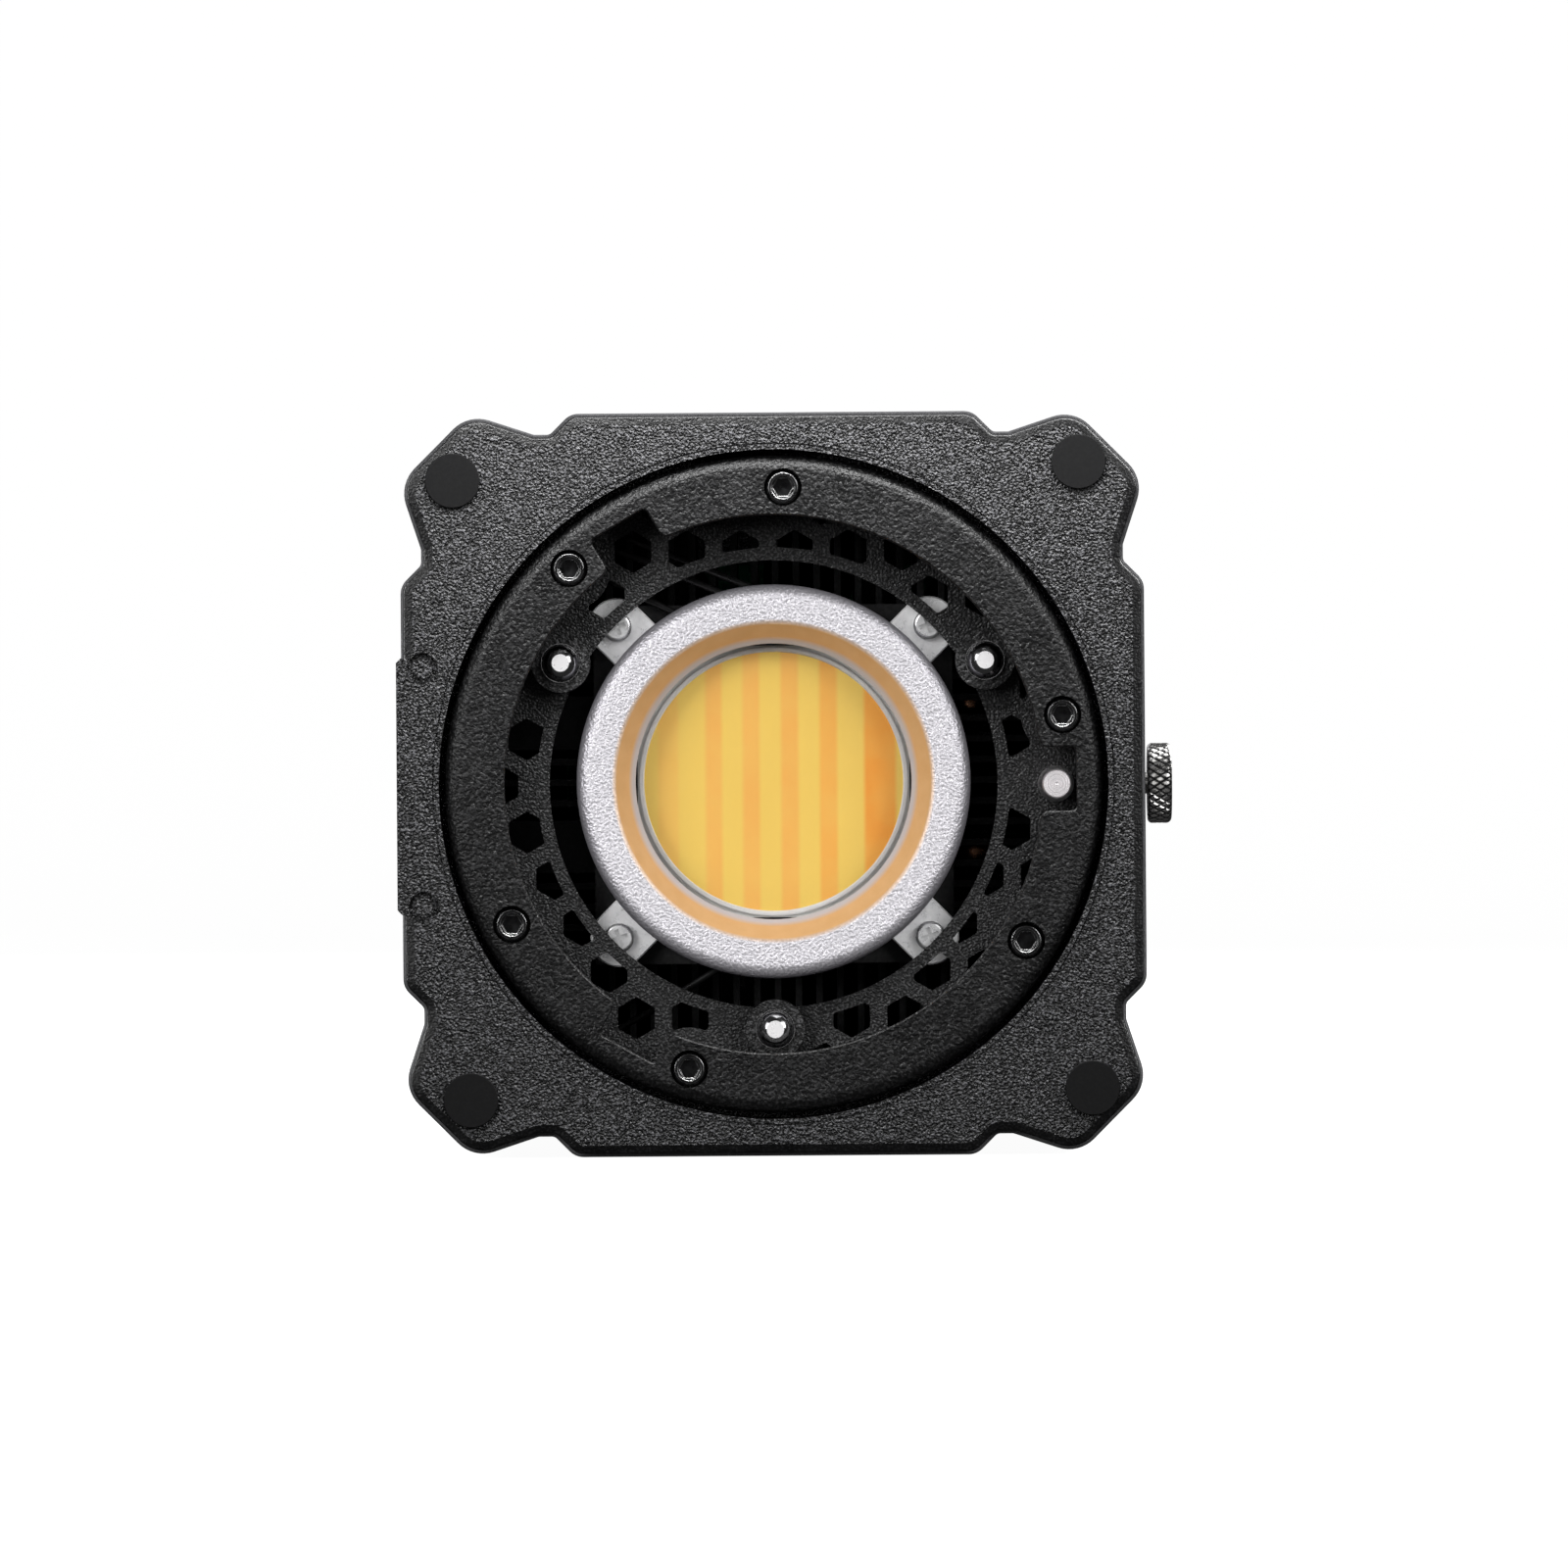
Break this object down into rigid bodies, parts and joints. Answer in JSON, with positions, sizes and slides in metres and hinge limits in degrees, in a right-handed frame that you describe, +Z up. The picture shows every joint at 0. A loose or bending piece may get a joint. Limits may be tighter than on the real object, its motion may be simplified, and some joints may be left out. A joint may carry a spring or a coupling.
{
  "type": "spotlight",
  "caption": "Square-bodied open-face LED spotlight head with a bayonet accessory ring, honeycomb vent, spring plungers, sprung lock pin and rear controls.",
  "frame": {"origin": "mouth of the stand hole, in the middle of the flat underside", "axes": "-Y is the way the light shines, +X is to the right as seen from the front, +Z is up"},
  "size_m": [0.142, 0.2104, 0.136],
  "materials": {
    "cover_plastic": "fine-grained matt black",
    "shell_metal": "satin grey anodised",
    "plate_metal": "satin",
    "ring_paint": "textured black powder coat",
    "black_screw": "black oxide, glossy",
    "steel": "turned bright steel",
    "chrome": "polished",
    "spring_steel": "bright wire",
    "rubber": "matt",
    "bezel_alu": "sand-blasted",
    "retainer_alu": "bright satin",
    "glass": "coated, clear",
    "phosphor": "silicone over phosphor, in bands",
    "dam": "white silicone",
    "board_ceramic": "white solder mask on aluminium",
    "sink_alu": "black anodised",
    "copper": "copper",
    "lead_jacket": "silicone jacket",
    "plug_plastic": "natural nylon",
    "fan_plastic": "black",
    "zinc_steel": "zinc plated",
    "pcb": "green solder mask",
    "brass": "turned",
    "panel_plastic": "fine matt black",
    "window": "dark tinted",
    "display": "unlit display",
    "dial_plastic": "satin black",
    "button_plastic": "dark grey",
    "switch_plastic": "black"
  },
  "bodies": {
    "housing": {"front_cover": "cover_plastic", "front_cover_screws": "black_screw", "rubber_pads": "rubber", "housing_shell": "shell_metal", "side_plate": "plate_metal", "side_plate_screws": "black_screw", "mount_ring": "ring_paint", "mount_ring_screws": "black_screw", "honeycomb_plate": "ring_paint", "plunger_caps": "ring_paint", "lock_rods": "steel", "led_board": "board_ceramic", "led_dam": "dam", "led_phosphor": "phosphor", "led_retainer": "retainer_alu", "led_retainer_screws": "zinc_steel", "led_bezel": "bezel_alu", "led_glass": "glass", "glass_seal": "rubber", "heat_pipes": "copper", "heat_sink": "sink_alu", "heat_sink_screws": "black_screw", "led_leads": "lead_jacket", "lead_plugs": "plug_plastic", "bulkhead": "zinc_steel", "fan_frame": "fan_plastic", "fan_screws": "zinc_steel", "stand_plate": "plate_metal", "stand_bush": "brass", "stand_plate_screws": "black_screw", "power_board": "pcb", "driver_board": "pcb", "board_standoffs": "brass", "board_screws": "zinc_steel", "control_board": "pcb", "rear_cover": "cover_plastic", "rear_cover_screws": "black_screw", "rear_panel": "panel_plastic", "display_window": "window", "display_module": "display", "switch_frame": "switch_plastic", "power_inlet": "switch_plastic"},
    "plunger_1": {"plunger_pin_1": "chrome", "plunger_spring_1": "spring_steel"},
    "plunger_2": {"plunger_pin_2": "chrome", "plunger_spring_2": "spring_steel"},
    "plunger_3": {"plunger_pin_3": "chrome", "plunger_spring_3": "spring_steel"},
    "bayonet_lock": {"lock_pin": "steel", "lock_carriage": "zinc_steel", "release_knob": "chrome", "lock_springs": "spring_steel"},
    "fan": {"fan_rotor": "fan_plastic"},
    "brightness": {"brightness_dial": "dial_plastic"},
    "colour": {"colour_dial": "dial_plastic"},
    "menu_key": {"menu_button": "button_plastic"},
    "mode_key": {"mode_button": "button_plastic"},
    "fan_key": {"fan_button": "button_plastic"},
    "power_rocker": {"switch_rocker": "switch_plastic"}
  },
  "joints": [
    {"name": "plunger_1_press", "type": "slide", "parent": "housing", "child": "plunger_1", "axis": [0, 1, 0], "range_m": [0, 0.0025], "stiffness_N_per_m": 600, "springref_m": -0.0015, "deforming": ["plunger_spring_1"]},
    {"name": "plunger_2_press", "type": "slide", "parent": "housing", "child": "plunger_2", "axis": [0, 1, 0], "range_m": [0, 0.0025], "stiffness_N_per_m": 600, "springref_m": -0.0015, "deforming": ["plunger_spring_2"]},
    {"name": "plunger_3_press", "type": "slide", "parent": "housing", "child": "plunger_3", "axis": [0, 1, 0], "range_m": [0, 0.0025], "stiffness_N_per_m": 600, "springref_m": -0.0015, "deforming": ["plunger_spring_3"]},
    {"name": "lock_release", "type": "slide", "parent": "housing", "child": "bayonet_lock", "axis": [0, 1, 0], "range_m": [0, 0.007], "stiffness_N_per_m": 800, "springref_m": -0.003, "deforming": ["lock_springs"]},
    {"name": "fan_spin", "type": "hinge", "parent": "housing", "child": "fan", "pos_m": [0, 0.042, 0.068], "axis": [0, 1, 0], "continuous": true},
    {"name": "brightness_turn", "type": "hinge", "parent": "housing", "child": "brightness", "pos_m": [-0.019, 0.1, 0.055], "axis": [0, 1, 0], "continuous": true},
    {"name": "colour_turn", "type": "hinge", "parent": "housing", "child": "colour", "pos_m": [0.019, 0.1, 0.055], "axis": [0, 1, 0], "continuous": true},
    {"name": "menu_press", "type": "slide", "parent": "housing", "child": "menu_key", "axis": [0, -1, 0], "range_m": [0, 0.0006], "stiffness_N_per_m": 900, "springref_m": -0.0008},
    {"name": "mode_press", "type": "slide", "parent": "housing", "child": "mode_key", "axis": [0, -1, 0], "range_m": [0, 0.0006], "stiffness_N_per_m": 900, "springref_m": -0.0008},
    {"name": "fan_press", "type": "slide", "parent": "housing", "child": "fan_key", "axis": [0, -1, 0], "range_m": [0, 0.0006], "stiffness_N_per_m": 900, "springref_m": -0.0008},
    {"name": "power_tip", "type": "hinge", "parent": "housing", "child": "power_rocker", "pos_m": [0.021, 0.098, 0.032], "axis": [-1, 0, 0], "range_deg": [0, 16]}
  ]
}
